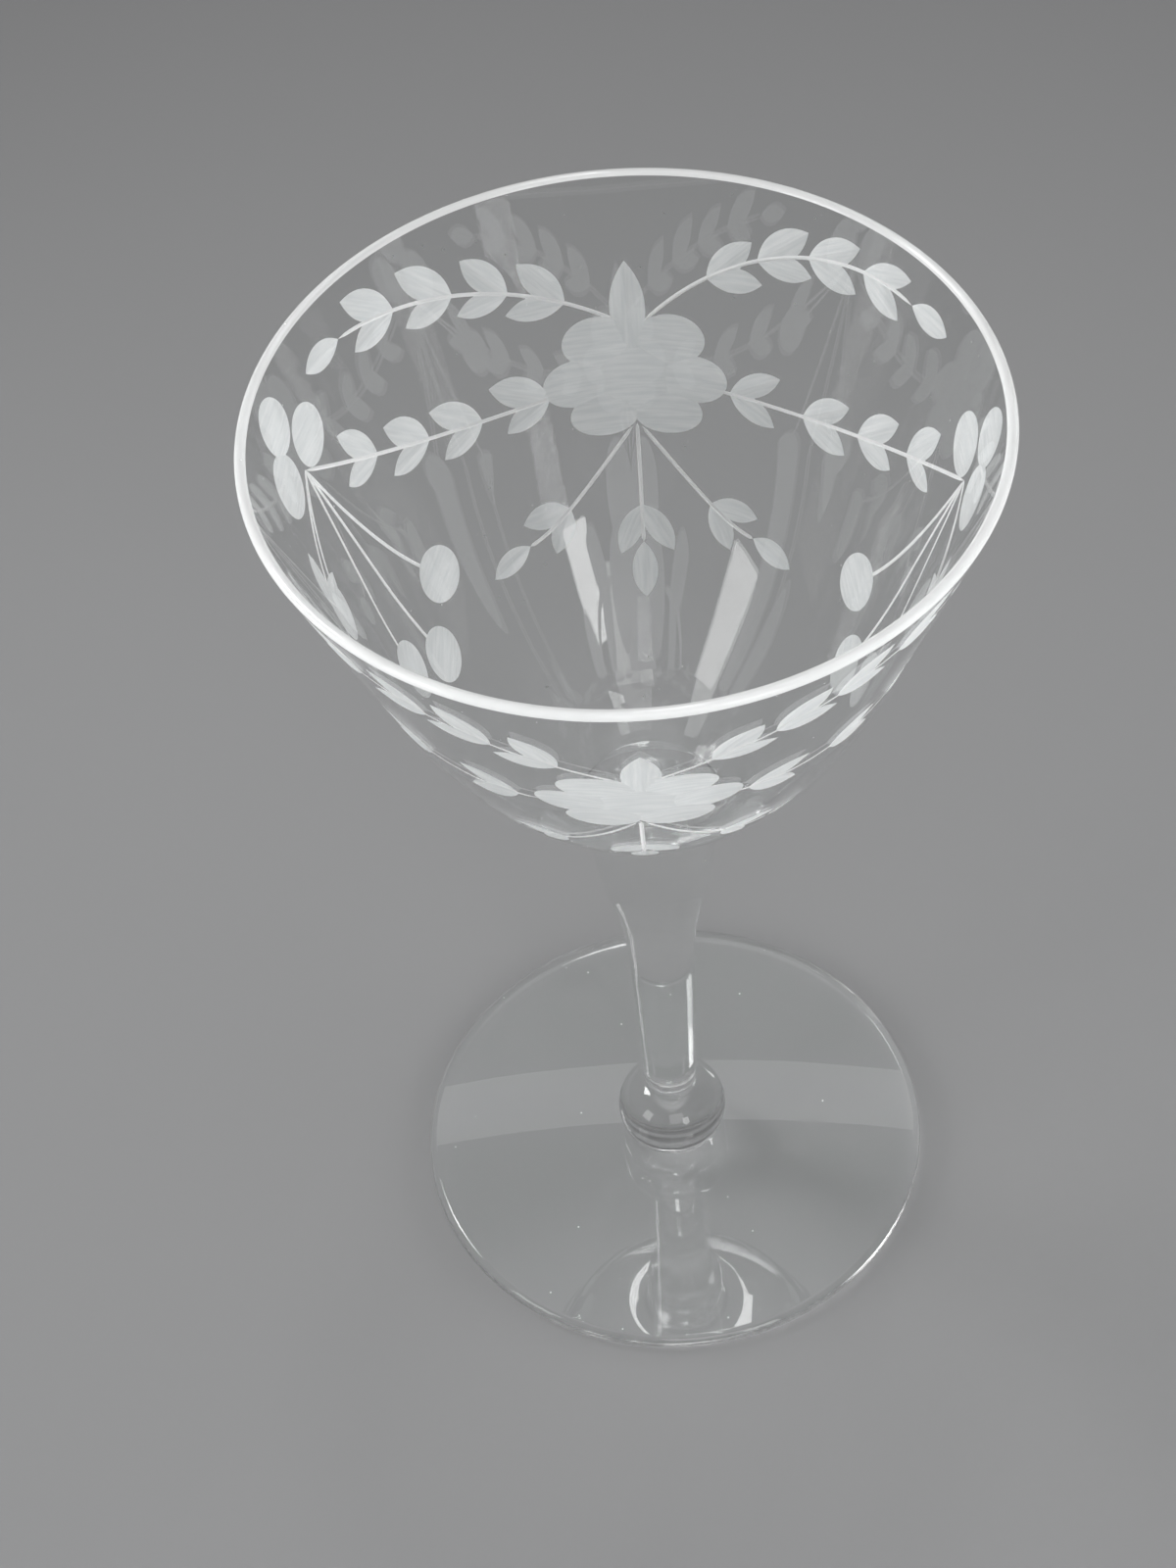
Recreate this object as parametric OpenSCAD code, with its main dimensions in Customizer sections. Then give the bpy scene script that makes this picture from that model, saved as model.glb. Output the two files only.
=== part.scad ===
// Stemmed port glass: a flared bowl on a swelling stem, a ball knop and a round foot.
// The four gathers of glass meet on flat discs, one on top of the other.
// Every profile is drawn as [radius, height] and turned about the upright axis.

/* [Overall] */
// Height of the whole glass, from the table to the rim
glass_h = 127; // [115:1:145]

/* [Bowl] */
// Diameter over the outside of the rim
rim_d = 76; // [70:1:84]
// Height of the bowl above its seat on the stem
bowl_h = 59.5; // [54:0.5:66]
// Thickness of the bowl's wall, and of its rounded lip
wall_t = 1.2; // [0.9:0.1:1.8]
// Lean of the straight upper wall, from upright
flare_angle = 20.3; // [17:0.1:23]
// Height of the straight upper wall below the rim
straight_h = 26.5; // [22:0.5:31]
// Solid glass between the stem and the inside of the bowl
floor_t = 3.6; // [2.8:0.1:5]
// Radius of the hollow curve between the stem and the bowl
neck_fillet = 5; // [3.5:0.1:6.5]

/* [Stem] */
// Diameter of the swollen top of the stem, where the bowl sits
shoulder_d = 14.4; // [12:0.1:16]
// Height of the upright collar under the bowl
collar_h = 3; // [1:0.5:5]
// Height of the round curve below the collar
swell_h = 12.7; // [9:0.1:15]
// Height of the hollow curve below the swell
hollow_h = 16; // [12:0.5:20]
// Diameter where the slender part of the stem ends
slender_d = 7.6; // [6.8:0.1:9]
// Diameter at the foot of the stem, on the knop
waist_d = 6.3; // [5.5:0.1:7]

/* [Knop] */
// Diameter of the ball knop
knop_d = 13.5; // [12:0.1:16]
// Radius of the round of its side
knop_round = 5.3; // [4.6:0.1:6]
// Diameter of the knop's flat on the foot
knop_seat_d = 10.8; // [9:0.1:12]

/* [Foot] */
// Diameter of the foot
foot_d = 63; // [56:1:72]
// Thickness of the foot's rounded edge
foot_edge_t = 2.2; // [1.6:0.1:2.6]
// Height of the crown of the foot's low dome above the table
foot_t = 3.7; // [3:0.1:5]
// Width of the flat ring that stands on the table
ring_w = 2; // [1:0.5:6]
// Rise of the shallow hollow inside that ring
kick_h = 0.2; // [0.1:0.1:1]

/* [Hidden] */

$fn = 96;
glass_colour = [0.80, 0.88, 0.88, 0.45];
// Straight steps in each drawn arc
arc_steps = 12;

rim_r = rim_d / 2;
shoulder_r = shoulder_d / 2;
slender_r = slender_d / 2;
waist_r = waist_d / 2;
knop_r = knop_d / 2;
knop_seat_r = knop_seat_d / 2;
foot_r = foot_d / 2;

// Foot: the round of its edge runs on into a low dome, cut flat under the knop
edge_round = foot_edge_t / 2;
edge_centre = [foot_r - edge_round, edge_round];
dome_round = (edge_centre[0] ^ 2 + (foot_t - edge_round) ^ 2 - edge_round ^ 2) / (2 * (foot_t - foot_edge_t));
dome_centre = [0, foot_t - dome_round];
edge_angle = bearing(edge_centre - dome_centre);
knop_z = dome_centre[1] + sqrt(dome_round ^ 2 - knop_seat_r ^ 2);
// The hollow under it is one shallow arc inside the ring
ring_in = edge_centre[0] - ring_w;
kick_round = (ring_in ^ 2 + kick_h ^ 2) / (2 * kick_h);

// Knop: an arc about knop_centre, cut flat at its two seats
knop_centre = knop_r - knop_round;
knop_low = sqrt(knop_round ^ 2 - (knop_seat_r - knop_centre) ^ 2);
knop_high = sqrt(knop_round ^ 2 - (waist_r - knop_centre) ^ 2);
knop_mid_z = knop_z + knop_low;

// Stem: seats and the levels where its curves meet
stem_z = knop_mid_z + knop_high;
bowl_z = glass_h - bowl_h;
collar_z = bowl_z - collar_h;
swell_z = collar_z - swell_h;
hollow_z = swell_z - hollow_h;
// The hollow and the round curve lean alike where they meet
swell_lean = 2 * atan((shoulder_r - slender_r) / (swell_h + hollow_h));
swell_round = swell_h / sin(swell_lean);
hollow_round = hollow_h / sin(swell_lean);

// Bowl: the lip's centre, then the foot of the straight wall on its outside
lip_round = wall_t / 2;
lip_centre = [rim_r - lip_round, glass_h - lip_round];
wall_out = [cos(flare_angle), -sin(flare_angle)];
lip_out = lip_centre + lip_round * wall_out;
straight_z = glass_h - straight_h;
straight_foot = [lip_out[0] - (lip_out[1] - straight_z) * tan(flare_angle), straight_z];
// The belly is the arc that runs on from the straight wall and into the fillet at the neck
fillet_centre = [shoulder_r + neck_fillet, bowl_z];
reach = straight_foot - fillet_centre;
belly_round = (reach * reach - neck_fillet ^ 2) / (2 * (neck_fillet + reach * wall_out));
belly_centre = straight_foot - belly_round * wall_out;
neck_angle = bearing(fillet_centre - belly_centre);
// The inside follows the belly at the wall's thickness and ends in a round floor
inner_round = belly_round - wall_t;
floor_z = bowl_z + floor_t;
floor_drop = belly_centre[1] - floor_z;
floor_round = (inner_round ^ 2 - belly_centre[0] ^ 2 - floor_drop ^ 2) / (2 * (inner_round - floor_drop));
floor_centre = [0, floor_z + floor_round];
floor_angle = bearing(floor_centre - belly_centre);

// Angle of a direction in the profile's plane, from outward towards up
function bearing(direction) = atan2(direction[1], direction[0]);

// Points along an arc, both ends included
function arc(centre, radius, from_angle, to_angle) =
    [for (i = [0:arc_steps])
        let (a = from_angle + (to_angle - from_angle) * i / arc_steps)
        centre + radius * [cos(a), sin(a)]];

module turned(profile) {
    color(glass_colour) rotate_extrude() polygon(profile);
}

module bowl() {
    turned(concat(
        [[0, bowl_z]],
        arc(fillet_centre, neck_fillet, 180, neck_angle + 180),
        arc(belly_centre, belly_round, neck_angle, -flare_angle),
        arc(lip_centre, lip_round, -flare_angle, 180 - flare_angle),
        arc(belly_centre, inner_round, -flare_angle, floor_angle),
        arc(floor_centre, floor_round, floor_angle, -90)
    ));
}

module stem() {
    turned(concat(
        [[0, stem_z], [waist_r, stem_z]],
        arc([slender_r + hollow_round, hollow_z], hollow_round, 180, 180 - swell_lean),
        arc([shoulder_r - swell_round, collar_z], swell_round, -swell_lean, 0),
        [[shoulder_r, bowl_z], [0, bowl_z]]
    ));
}

module knop() {
    turned(concat(
        [[0, knop_z]],
        arc([knop_centre, knop_mid_z], knop_round,
            -acos((knop_seat_r - knop_centre) / knop_round),
            acos((waist_r - knop_centre) / knop_round)),
        [[0, stem_z]]
    ));
}

module foot() {
    turned(concat(
        arc([0, kick_h - kick_round], kick_round, 90, acos(ring_in / kick_round)),
        arc(edge_centre, edge_round, -90, edge_angle),
        arc(dome_centre, dome_round, edge_angle, acos(knop_seat_r / dome_round)),
        [[0, knop_z]]
    ));
}

bowl();
stem();
knop();
foot();
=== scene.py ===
"""Port glass with a wheel-cut bowl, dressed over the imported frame.

The bowl, stem, knop and foot are turned from the same tangent arcs as the solids. The ornament is cut
into the outside of the bowl as real hollows: mitred leaves, scooped petals and berries, hairline stalks.
Lengths are in millimetres until a mesh is made, and in metres in Blender.
"""

import logging
import math
from dataclasses import dataclass, field
from enum import Enum, IntEnum
from itertools import combinations
from typing import ClassVar

import bpy
import numpy as np
from mathutils import Matrix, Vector
from mathutils.geometry import delaunay_2d_cdt


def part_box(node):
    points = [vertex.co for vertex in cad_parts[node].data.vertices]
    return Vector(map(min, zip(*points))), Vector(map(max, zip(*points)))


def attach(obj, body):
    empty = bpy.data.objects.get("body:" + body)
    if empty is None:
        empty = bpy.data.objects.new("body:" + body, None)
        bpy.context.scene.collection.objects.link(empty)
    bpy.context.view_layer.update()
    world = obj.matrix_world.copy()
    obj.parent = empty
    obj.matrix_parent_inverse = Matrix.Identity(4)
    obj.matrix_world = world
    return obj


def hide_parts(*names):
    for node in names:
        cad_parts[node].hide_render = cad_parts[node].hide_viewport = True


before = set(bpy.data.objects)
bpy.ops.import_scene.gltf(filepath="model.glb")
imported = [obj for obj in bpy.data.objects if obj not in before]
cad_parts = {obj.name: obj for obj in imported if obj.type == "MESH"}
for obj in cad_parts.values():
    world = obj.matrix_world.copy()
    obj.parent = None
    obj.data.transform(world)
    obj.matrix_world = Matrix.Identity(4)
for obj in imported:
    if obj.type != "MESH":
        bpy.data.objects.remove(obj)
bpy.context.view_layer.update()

log = logging.getLogger("port_glass")

Array = np.ndarray
Pair = tuple[float, float]
Triple = tuple[float, float, float]
Colour = tuple[float, float, float, float]

# A millimetre in metres, then the welding distance and the least depth of a cut in millimetres
MM = 0.001
WELD = 1e-5
SHALLOW = 1e-4
# Steps in a full turn, along a leaf, along a stalk and round a scoop's edge
SEGMENTS = 288
LEAF_STEPS = 16
STALK_STEPS = 36
HOOP_STEPS = 40
TURNS = np.arange(SEGMENTS) * (2 * np.pi / SEGMENTS)


class Dress(IntEnum):
    """The material slots that every turned piece carries, in order."""

    CLEAR = 0
    GROUND = 1
    FUSED = 2
    LIP = 3
    HAIRLINE = 4


class Slot(Enum):
    """The record's material slots."""

    CUT = "cut_glass"
    CLEAR = "clear_glass"


class Side(IntEnum):
    """Which way round the bowl a spray runs from its flower, seen with +X to the right of +Y."""

    RIGHT = 1
    LEFT = -1


class Reach(Enum):
    """What a lamp does: it lights matt surfaces only, shows in polished ones only, or does both."""

    MATT = "matt"
    GLINT = "glint"
    BOTH = "both"


def spread(first: float, last: float, steps: int) -> Array:
    """Evenly spaced values from first to last, steps + 1 of them."""
    return np.linspace(first, last, steps + 1)


def wrapped(place: Array) -> Array:
    """Differences of places with the turn round the axis brought between minus and plus half a turn.

    Args:
        place: complex differences, the real part an angle in radians.

    Returns:
        The same differences taken the short way round the bowl.
    """
    return (place.real + np.pi) % (2 * np.pi) - np.pi + 1j * place.imag


def flatten(place: Array) -> Array:
    """The flat plan exp(rise) (cos turn + i sin turn) of places, which has no seam."""
    return np.exp(place.imag) * np.exp(1j * place.real)


def unflatten(plan: Array) -> Array:
    """Places from the flat plan: a point's angle is its turn, and the log of its distance its rise."""
    return np.angle(plan) + 1j * np.log(np.hypot(plan.real, plan.imag))


def bend(start: complex, control: complex, end: complex, along: Array) -> Array:
    """A quadratic curve: (1-u)^2 start + 2u(1-u) control + u^2 end.

    Args:
        start: where the curve begins.
        control: the point it leans towards.
        end: where it ends.
        along: values of u from 0 to 1.

    Returns:
        Points on the curve as complex numbers.
    """
    return (1 - along) ** 2 * start + 2 * along * (1 - along) * control + along**2 * end


@dataclass(frozen=True)
class Run:
    """A stretch of a turned profile, with its outward normals and its dress.

    Attributes:
        points: (n, 2) radius and height in millimetres.
        normals: (n, 2) unit outward normals.
        dress: the material slot of the surface it sweeps.
    """

    points: Array
    normals: Array
    dress: Dress = Dress.CLEAR

    @classmethod
    def arc(
        cls,
        centre: Pair,
        radius: float,
        start: float,
        end: float,
        steps: int,
        hollow: bool = False,
        dress: Dress = Dress.CLEAR,
    ) -> "Run":
        """Centre + radius (cos a, sin a) for a from start to end in degrees.

        Args:
            centre: radius and height of the arc's centre.
            radius: the arc's radius.
            start: first angle.
            end: last angle.
            steps: number of chords.
            hollow: True where the glass lies outside the arc, so that the normal points at the centre.
            dress: the material slot.

        Returns:
            The run.
        """
        angle = np.radians(spread(start, end, steps))
        spoke = np.stack([np.cos(angle), np.sin(angle)], axis=1)
        return cls(np.asarray(centre) + radius * spoke, -spoke if hollow else spoke, dress)

    @classmethod
    def line(cls, first: Pair, last: Pair, outward: Pair, steps: int, dress: Dress = Dress.CLEAR) -> "Run":
        """First + t (last - first) for t from 0 to 1, with one normal.

        Args:
            first: radius and height of the beginning.
            last: radius and height of the end.
            outward: the unit normal all along it.
            steps: number of pieces.
            dress: the material slot.

        Returns:
            The run.
        """
        share = spread(0.0, 1.0, steps)[:, None]
        points = np.asarray(first) + share * (np.asarray(last) - np.asarray(first))
        return cls(points, np.broadcast_to(np.asarray(outward, dtype=float), points.shape), dress)


def ring(radius: Array, height: Array, angle: Array) -> Array:
    """Points (r sin a, r cos a, z), so that angle 0 is +Y and a quarter turn is +X.

    Args:
        radius: distance from the axis.
        height: height above the table.
        angle: turn from +Y in radians.

    Returns:
        Points with the three coordinates on the last axis.
    """
    radius, height, angle = np.broadcast_arrays(radius, height, angle)
    return np.stack([radius * np.sin(angle), radius * np.cos(angle), height], axis=-1)


class Skin:
    """Faces of one piece, gathered as separate corners and welded into a mesh at the end."""

    def __init__(self) -> None:
        """Starts with no faces."""
        self.corners: list[Array] = []
        self.normals: list[Array] = []
        self.dress: list[Array] = []
        self.wheel: list[Array] = []

    def add(self, corners: Array, normals: Array, dress: Array, wheel: Array | None = None) -> None:
        """Takes faces of one corner count and turns round those that face against their normals.

        Args:
            corners: (faces, corners, 3) in millimetres.
            normals: outward normals of the same shape.
            dress: (faces,) material slots, or one for all.
            wheel: the cutting wheel's own coordinates at each corner, of the same shape as corners.
        """
        wheel = np.zeros_like(corners) if wheel is None else wheel
        facing = np.cross(corners[:, 1] - corners[:, 0], corners[:, 2] - corners[:, 0])
        facing += np.cross(corners[:, 2] - corners[:, 0], corners[:, -1] - corners[:, 0])
        wrong = np.einsum("fi,fi->f", facing, normals.sum(axis=1)) < 0
        for kept, values in ((self.corners, corners), (self.normals, normals), (self.wheel, wheel)):
            kept.append(np.where(wrong[:, None, None], values[:, ::-1], values))
        self.dress.append(np.broadcast_to(dress, len(corners)))

    def turn(self, run: Run) -> None:
        """Sweeps a run once round the axis, four corners to a face and three at a pole.

        Args:
            run: the profile stretch.
        """
        points = ring(run.points[:, :1], run.points[:, 1:], TURNS)
        facing = ring(run.normals[:, :1], run.normals[:, 1:], TURNS)
        for first in range(len(run.points) - 1):
            rows = np.array([first, first, first + 1, first + 1])
            turns = np.array([0, 1, 1, 0])
            if run.points[first, 0] < WELD:
                rows, turns = rows[1:], turns[1:]
            elif run.points[first + 1, 0] < WELD:
                rows, turns = rows[:3], turns[:3]
            columns = (np.arange(SEGMENTS)[:, None] + turns) % SEGMENTS
            self.add(points[rows, columns], facing[rows, columns], np.int32(run.dress))

    @staticmethod
    def table(blocks: list[Array]) -> Array:
        """Every corner of the blocks, one to a row."""
        return np.concatenate([block.reshape(-1, 3) for block in blocks])

    def mesh(self, name: str) -> bpy.types.Object:
        """Welds equal corners to shared vertices and makes the object, with its own corner normals.

        Args:
            name: the piece's name.

        Returns:
            The object, at the origin, in metres.
        """
        flat = self.table(self.corners)
        keys = np.round(flat / WELD).astype(np.int64)
        _, first, index = np.unique(keys, axis=0, return_index=True, return_inverse=True)
        sizes = np.concatenate([np.full(len(block), block.shape[1]) for block in self.corners])
        mesh = bpy.data.meshes.new(name)
        mesh.vertices.add(len(first))
        mesh.vertices.foreach_set("co", (flat[first] * MM).ravel())
        mesh.loops.add(len(flat))
        mesh.loops.foreach_set("vertex_index", index.ravel().astype(np.int32))
        mesh.polygons.add(len(sizes))
        mesh.polygons.foreach_set("loop_start", (np.cumsum(sizes) - sizes).astype(np.int32))
        mesh.polygons.foreach_set("material_index", np.concatenate(self.dress).astype(np.int32))
        mesh.update(calc_edges=True)
        wheel = mesh.attributes.new("wheel", "FLOAT_VECTOR", "CORNER")
        wheel.data.foreach_set("vector", self.table(self.wheel).ravel())
        normals = self.table(self.normals)
        mesh.normals_split_custom_set((normals / np.linalg.norm(normals, axis=1, keepdims=True)).tolist())
        piece = bpy.data.objects.new(name, mesh)
        bpy.context.scene.collection.objects.link(piece)
        return piece


class Wall:
    """The cut stretch of the bowl's outer wall, laid flat so that angles keep true.

    A place on it is a complex number. The real part is the turn from +Y in radians. The imaginary part is
    the sum of slope length over radius from the lower edge, so a small shape keeps its form and grows with
    the radius.
    """

    def __init__(self, runs: list[Run]) -> None:
        """Joins the runs into one table from the lower edge to the upper edge.

        Args:
            runs: the profile stretches, from the bottom upwards.
        """
        points = np.concatenate([runs[0].points] + [run.points[1:] for run in runs[1:]])
        self.facing = np.concatenate([runs[0].normals] + [run.normals[1:] for run in runs[1:]])
        self.radius, self.height = points.T
        step = np.hypot(*np.diff(points, axis=0).T)
        middle = (self.radius[1:] + self.radius[:-1]) / 2
        self.rise = np.concatenate([[0.0], np.cumsum(step / middle)])

    def at(self, turn: float, height: float) -> complex:
        """The place at a turn in degrees and a height in millimetres."""
        return complex(math.radians(turn), np.interp(height, self.height, self.rise))

    def scale(self, place: Array | complex) -> Array:
        """Millimetres to one unit of a place, which is the radius there."""
        return np.interp(np.imag(place), self.rise, self.radius)

    def lay(self, place: Array, depth: Array) -> tuple[Array, Array]:
        """Puts places on the wall and sinks them along the normal.

        Args:
            place: complex places.
            depth: how far below the wall each lies.

        Returns:
            The points and the wall's normals there.
        """
        facing = np.stack([np.interp(place.imag, self.rise, column) for column in self.facing.T], axis=-1)
        facing = facing / np.linalg.norm(facing, axis=-1, keepdims=True)
        radius = self.scale(place) - depth * facing[..., 0]
        height = np.interp(place.imag, self.rise, self.height) - depth * facing[..., 1]
        return ring(radius, height, place.real), ring(facing[..., 0], facing[..., 1], place.real)


class Cut:
    """One stroke of the cutting wheel. A subclass gives its edge, its depth and the wheel's coordinates."""

    dress: ClassVar[Dress] = Dress.GROUND

    def clearance(self, wall: Wall, place: Array) -> Array:
        """How far inside the stroke's edge each place lies, in millimetres, less than 0 outside it."""
        raise NotImplementedError

    def depth(self, wall: Wall, place: Array) -> Array:
        """How deep the stroke is at each place, in millimetres, and 0 outside it."""
        raise NotImplementedError

    def grain(self, wall: Wall, place: Array) -> tuple[Array, Array]:
        """Millimetres along and across the wheel's travel."""
        raise NotImplementedError

    def lines(self, wall: Wall) -> list[Array]:
        """The edge and the sharp inner lines of the stroke, as chains of places."""
        raise NotImplementedError

    def fill(self, wall: Wall) -> Array:
        """More places inside the stroke that its curved floor needs."""
        return np.empty(0, dtype=complex)


@dataclass
class Leaf(Cut):
    """A soft mitre, pointed at both ends, whose flanks ease off to the rib.

    At a share t of the length, half the width is the fullness times 1 - |2t - 1|^p, with p the power.

    Attributes:
        base: the end at the stalk.
        tip: the free end.
        fullness: half the width over the length.
        slope: steepness of the flanks at the edge.
        power: how long the leaf keeps its width.
        ease: share of the floor that is round, the rest being a plain mitre.
    """

    # Least half width, over the length, that a depth is worked out with
    NARROW: ClassVar[float] = 1e-9

    base: complex
    tip: complex
    fullness: float = 0.225
    slope: float = 0.3
    power: float = 2.2
    ease: float = 0.6

    def local(self, place: Array) -> tuple[Array, Array]:
        """Share of the length along the leaf and, on the same scale, across it."""
        share = wrapped(place - self.base) / (self.tip - self.base)
        return share.real, share.imag

    def half(self, along: Array) -> Array:
        """Half the width at a share of the length, on the same scale."""
        return self.fullness * (1 - np.abs(2 * along - 1) ** self.power)

    def length(self, wall: Wall) -> float:
        """The leaf's length in millimetres."""
        return float(abs(self.tip - self.base) * wall.scale((self.tip + self.base) / 2))

    def clearance(self, wall: Wall, place: Array) -> Array:
        """Half width less distance from the rib."""
        along, across = self.local(place)
        return (self.half(along) - np.abs(across)) * self.length(wall)

    def depth(self, wall: Wall, place: Array) -> Array:
        """Slope times a mix of h - a and (h^2 - a^2) / 2h: h is half the width, a the way off the rib."""
        along, across = self.local(place)
        half = np.maximum(self.half(along), self.NARROW)
        off = np.minimum(np.abs(across), half)
        mitre = half - off
        rounded = (half**2 - off**2) / (2 * half)
        return self.slope * self.length(wall) * ((1 - self.ease) * mitre + self.ease * rounded)

    def grain(self, wall: Wall, place: Array) -> tuple[Array, Array]:
        """Millimetres along and across the leaf."""
        along, across = self.local(place)
        return along * self.length(wall), across * self.length(wall)

    def lines(self, wall: Wall) -> list[Array]:
        """Both edges and the rib, closer together at the points."""
        along = (1 - np.cos(spread(0, np.pi, LEAF_STEPS))) / 2
        span = self.tip - self.base
        return [self.base + span * (along + 1j * way * self.half(along)) for way in (1, -1, 0)]


@dataclass
class Scoop(Cut):
    """A round-wheel cut: a shallow bowl of depth D (1 - m).

    The share of the way from the middle to the edge, squared, is m.

    Attributes:
        centre: the middle.
        half: half the length and half the width in millimetres.
        tilt: turn of the length from level, in degrees.
        floor: the depth in the middle.
        travel: turn of the grinding marks from level, in degrees.
    """

    # Shares of the way to the edge where the floor has hoops of points, then how many points a hoop has in
    # the middle and how many more at the edge
    HOOPS: ClassVar[tuple[float, ...]] = (0.88, 0.74, 0.58, 0.42, 0.25)
    FEWEST: ClassVar[int] = 8
    MORE: ClassVar[int] = 28
    # Steps and halvings of a ridge, how far aside it is looked for, over the distance of the middles, and
    # how far it runs past the edge, over the depth
    RIDGE_STEPS: ClassVar[int] = 72
    HALVINGS: ClassVar[int] = 24
    ASIDE: ClassVar[float] = 1.5
    PAST: ClassVar[float] = 0.02

    centre: complex
    half: Pair
    tilt: float = 0.0
    floor: float = 0.5
    travel: float = 0.0

    def offset(self, wall: Wall, place: Array, angle: float) -> Array:
        """Millimetres from the middle, along and across an angle in degrees, as a complex number."""
        return wrapped(place - self.centre) * wall.scale(self.centre) * np.exp(-1j * math.radians(angle))

    def share(self, wall: Wall, place: Array) -> Array:
        """The square of the share of the way from the middle to the edge."""
        offset = self.offset(wall, place, self.tilt)
        return (offset.real / self.half[0]) ** 2 + (offset.imag / self.half[1]) ** 2

    def ridge(self, wall: Wall, other: "Scoop") -> Array:
        """The line on which two scoops are equally deep, found by halving on lines from middle to middle.

        Args:
            wall: the wall.
            other: a scoop that may overlap this one.

        Returns:
            Places along the ridge, none where the scoops don't meet.
        """
        axis = complex(wrapped(np.array(other.centre - self.centre)))
        beside = spread(-self.ASIDE, self.ASIDE, self.RIDGE_STEPS)
        near, far = np.zeros_like(beside), np.ones_like(beside)
        for _ in range(self.HALVINGS):
            half = (near + far) / 2
            place = self.centre + axis * (half + 1j * beside)
            own = self.floor * (1 - self.share(wall, place))
            deeper = own > other.floor * (1 - other.share(wall, place))
            near, far = np.where(deeper, half, near), np.where(deeper, far, half)
        return place[own > -self.PAST * self.floor]

    def clearance(self, wall: Wall, place: Array) -> Array:
        """The shorter half times what is left of the way to the edge."""
        return (1 - np.sqrt(self.share(wall, place))) * min(self.half)

    def depth(self, wall: Wall, place: Array) -> Array:
        """D (1 - m) inside the edge."""
        return self.floor * np.maximum(1 - self.share(wall, place), 0)

    def grain(self, wall: Wall, place: Array) -> tuple[Array, Array]:
        """Millimetres along and across the wheel's travel."""
        offset = self.offset(wall, place, self.travel)
        return offset.real, offset.imag

    def hoop(self, wall: Wall, share: float, count: int) -> Array:
        """An ellipse at a share of the way to the edge."""
        angle = np.arange(count) * (2 * np.pi / count)
        offset = share * (self.half[0] * np.cos(angle) + 1j * self.half[1] * np.sin(angle))
        return self.centre + offset * np.exp(1j * math.radians(self.tilt)) / wall.scale(self.centre)

    def lines(self, wall: Wall) -> list[Array]:
        """The edge."""
        hoop = self.hoop(wall, 1.0, HOOP_STEPS)
        return [np.append(hoop, hoop[0])]

    def fill(self, wall: Wall) -> Array:
        """Smaller ellipses and the middle."""
        hoops = [self.hoop(wall, share, int(self.FEWEST + self.MORE * share)) for share in self.HOOPS]
        return np.concatenate(hoops + [np.array([self.centre])])


@dataclass
class Stalk(Cut):
    """A hairline mitre along a curve, tapering at both ends.

    Attributes:
        path: places along the curve.
        half: half the width in millimetres.
        slope: depth over distance from the edge.
        taper: share of the length over which an end narrows.
    """

    dress: ClassVar[Dress] = Dress.HAIRLINE
    path: Array
    half: float = 0.22
    slope: float = 0.7
    taper: float = 0.04

    def width(self) -> Array:
        """Half the width at each place of the path."""
        along = spread(0, 1, len(self.path) - 1)
        return self.half * np.sqrt(np.clip(np.minimum(along, 1 - along) / self.taper, 0, 1))

    def nearest(self, wall: Wall, place: Array) -> tuple[Array, Array]:
        """The share of the path nearest to each place, and the distance across it in millimetres."""
        best = np.full(place.shape, np.inf)
        where = np.zeros(place.shape)
        for index, (first, last) in enumerate(zip(self.path[:-1], self.path[1:])):
            share = wrapped(place - first) / (last - first)
            on = np.clip(share.real, 0, 1)
            gap = np.abs(share - on) * abs(last - first)
            closer = gap < np.abs(best)
            best = np.where(closer, np.copysign(gap, share.imag), best)
            where = np.where(closer, index + on, where)
        return where, best * wall.scale(place)

    def clearance(self, wall: Wall, place: Array) -> Array:
        """Half width less distance from the curve."""
        where, across = self.nearest(wall, place)
        return np.interp(where, np.arange(len(self.path)), self.width()) - np.abs(across)

    def depth(self, wall: Wall, place: Array) -> Array:
        """The slope times the clearance."""
        return self.slope * np.maximum(self.clearance(wall, place), 0)

    def grain(self, wall: Wall, place: Array) -> tuple[Array, Array]:
        """Millimetres along and across the curve."""
        where, across = self.nearest(wall, place)
        return where / len(self.path) * np.abs(np.diff(self.path)).sum() * wall.scale(place), across

    def lines(self, wall: Wall) -> list[Array]:
        """Both edges and the bottom of the groove."""
        way = np.gradient(self.path)
        side = 1j * way / np.abs(way) * self.width() / wall.scale(self.path)
        return [self.path + side, self.path - side, self.path]


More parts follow.
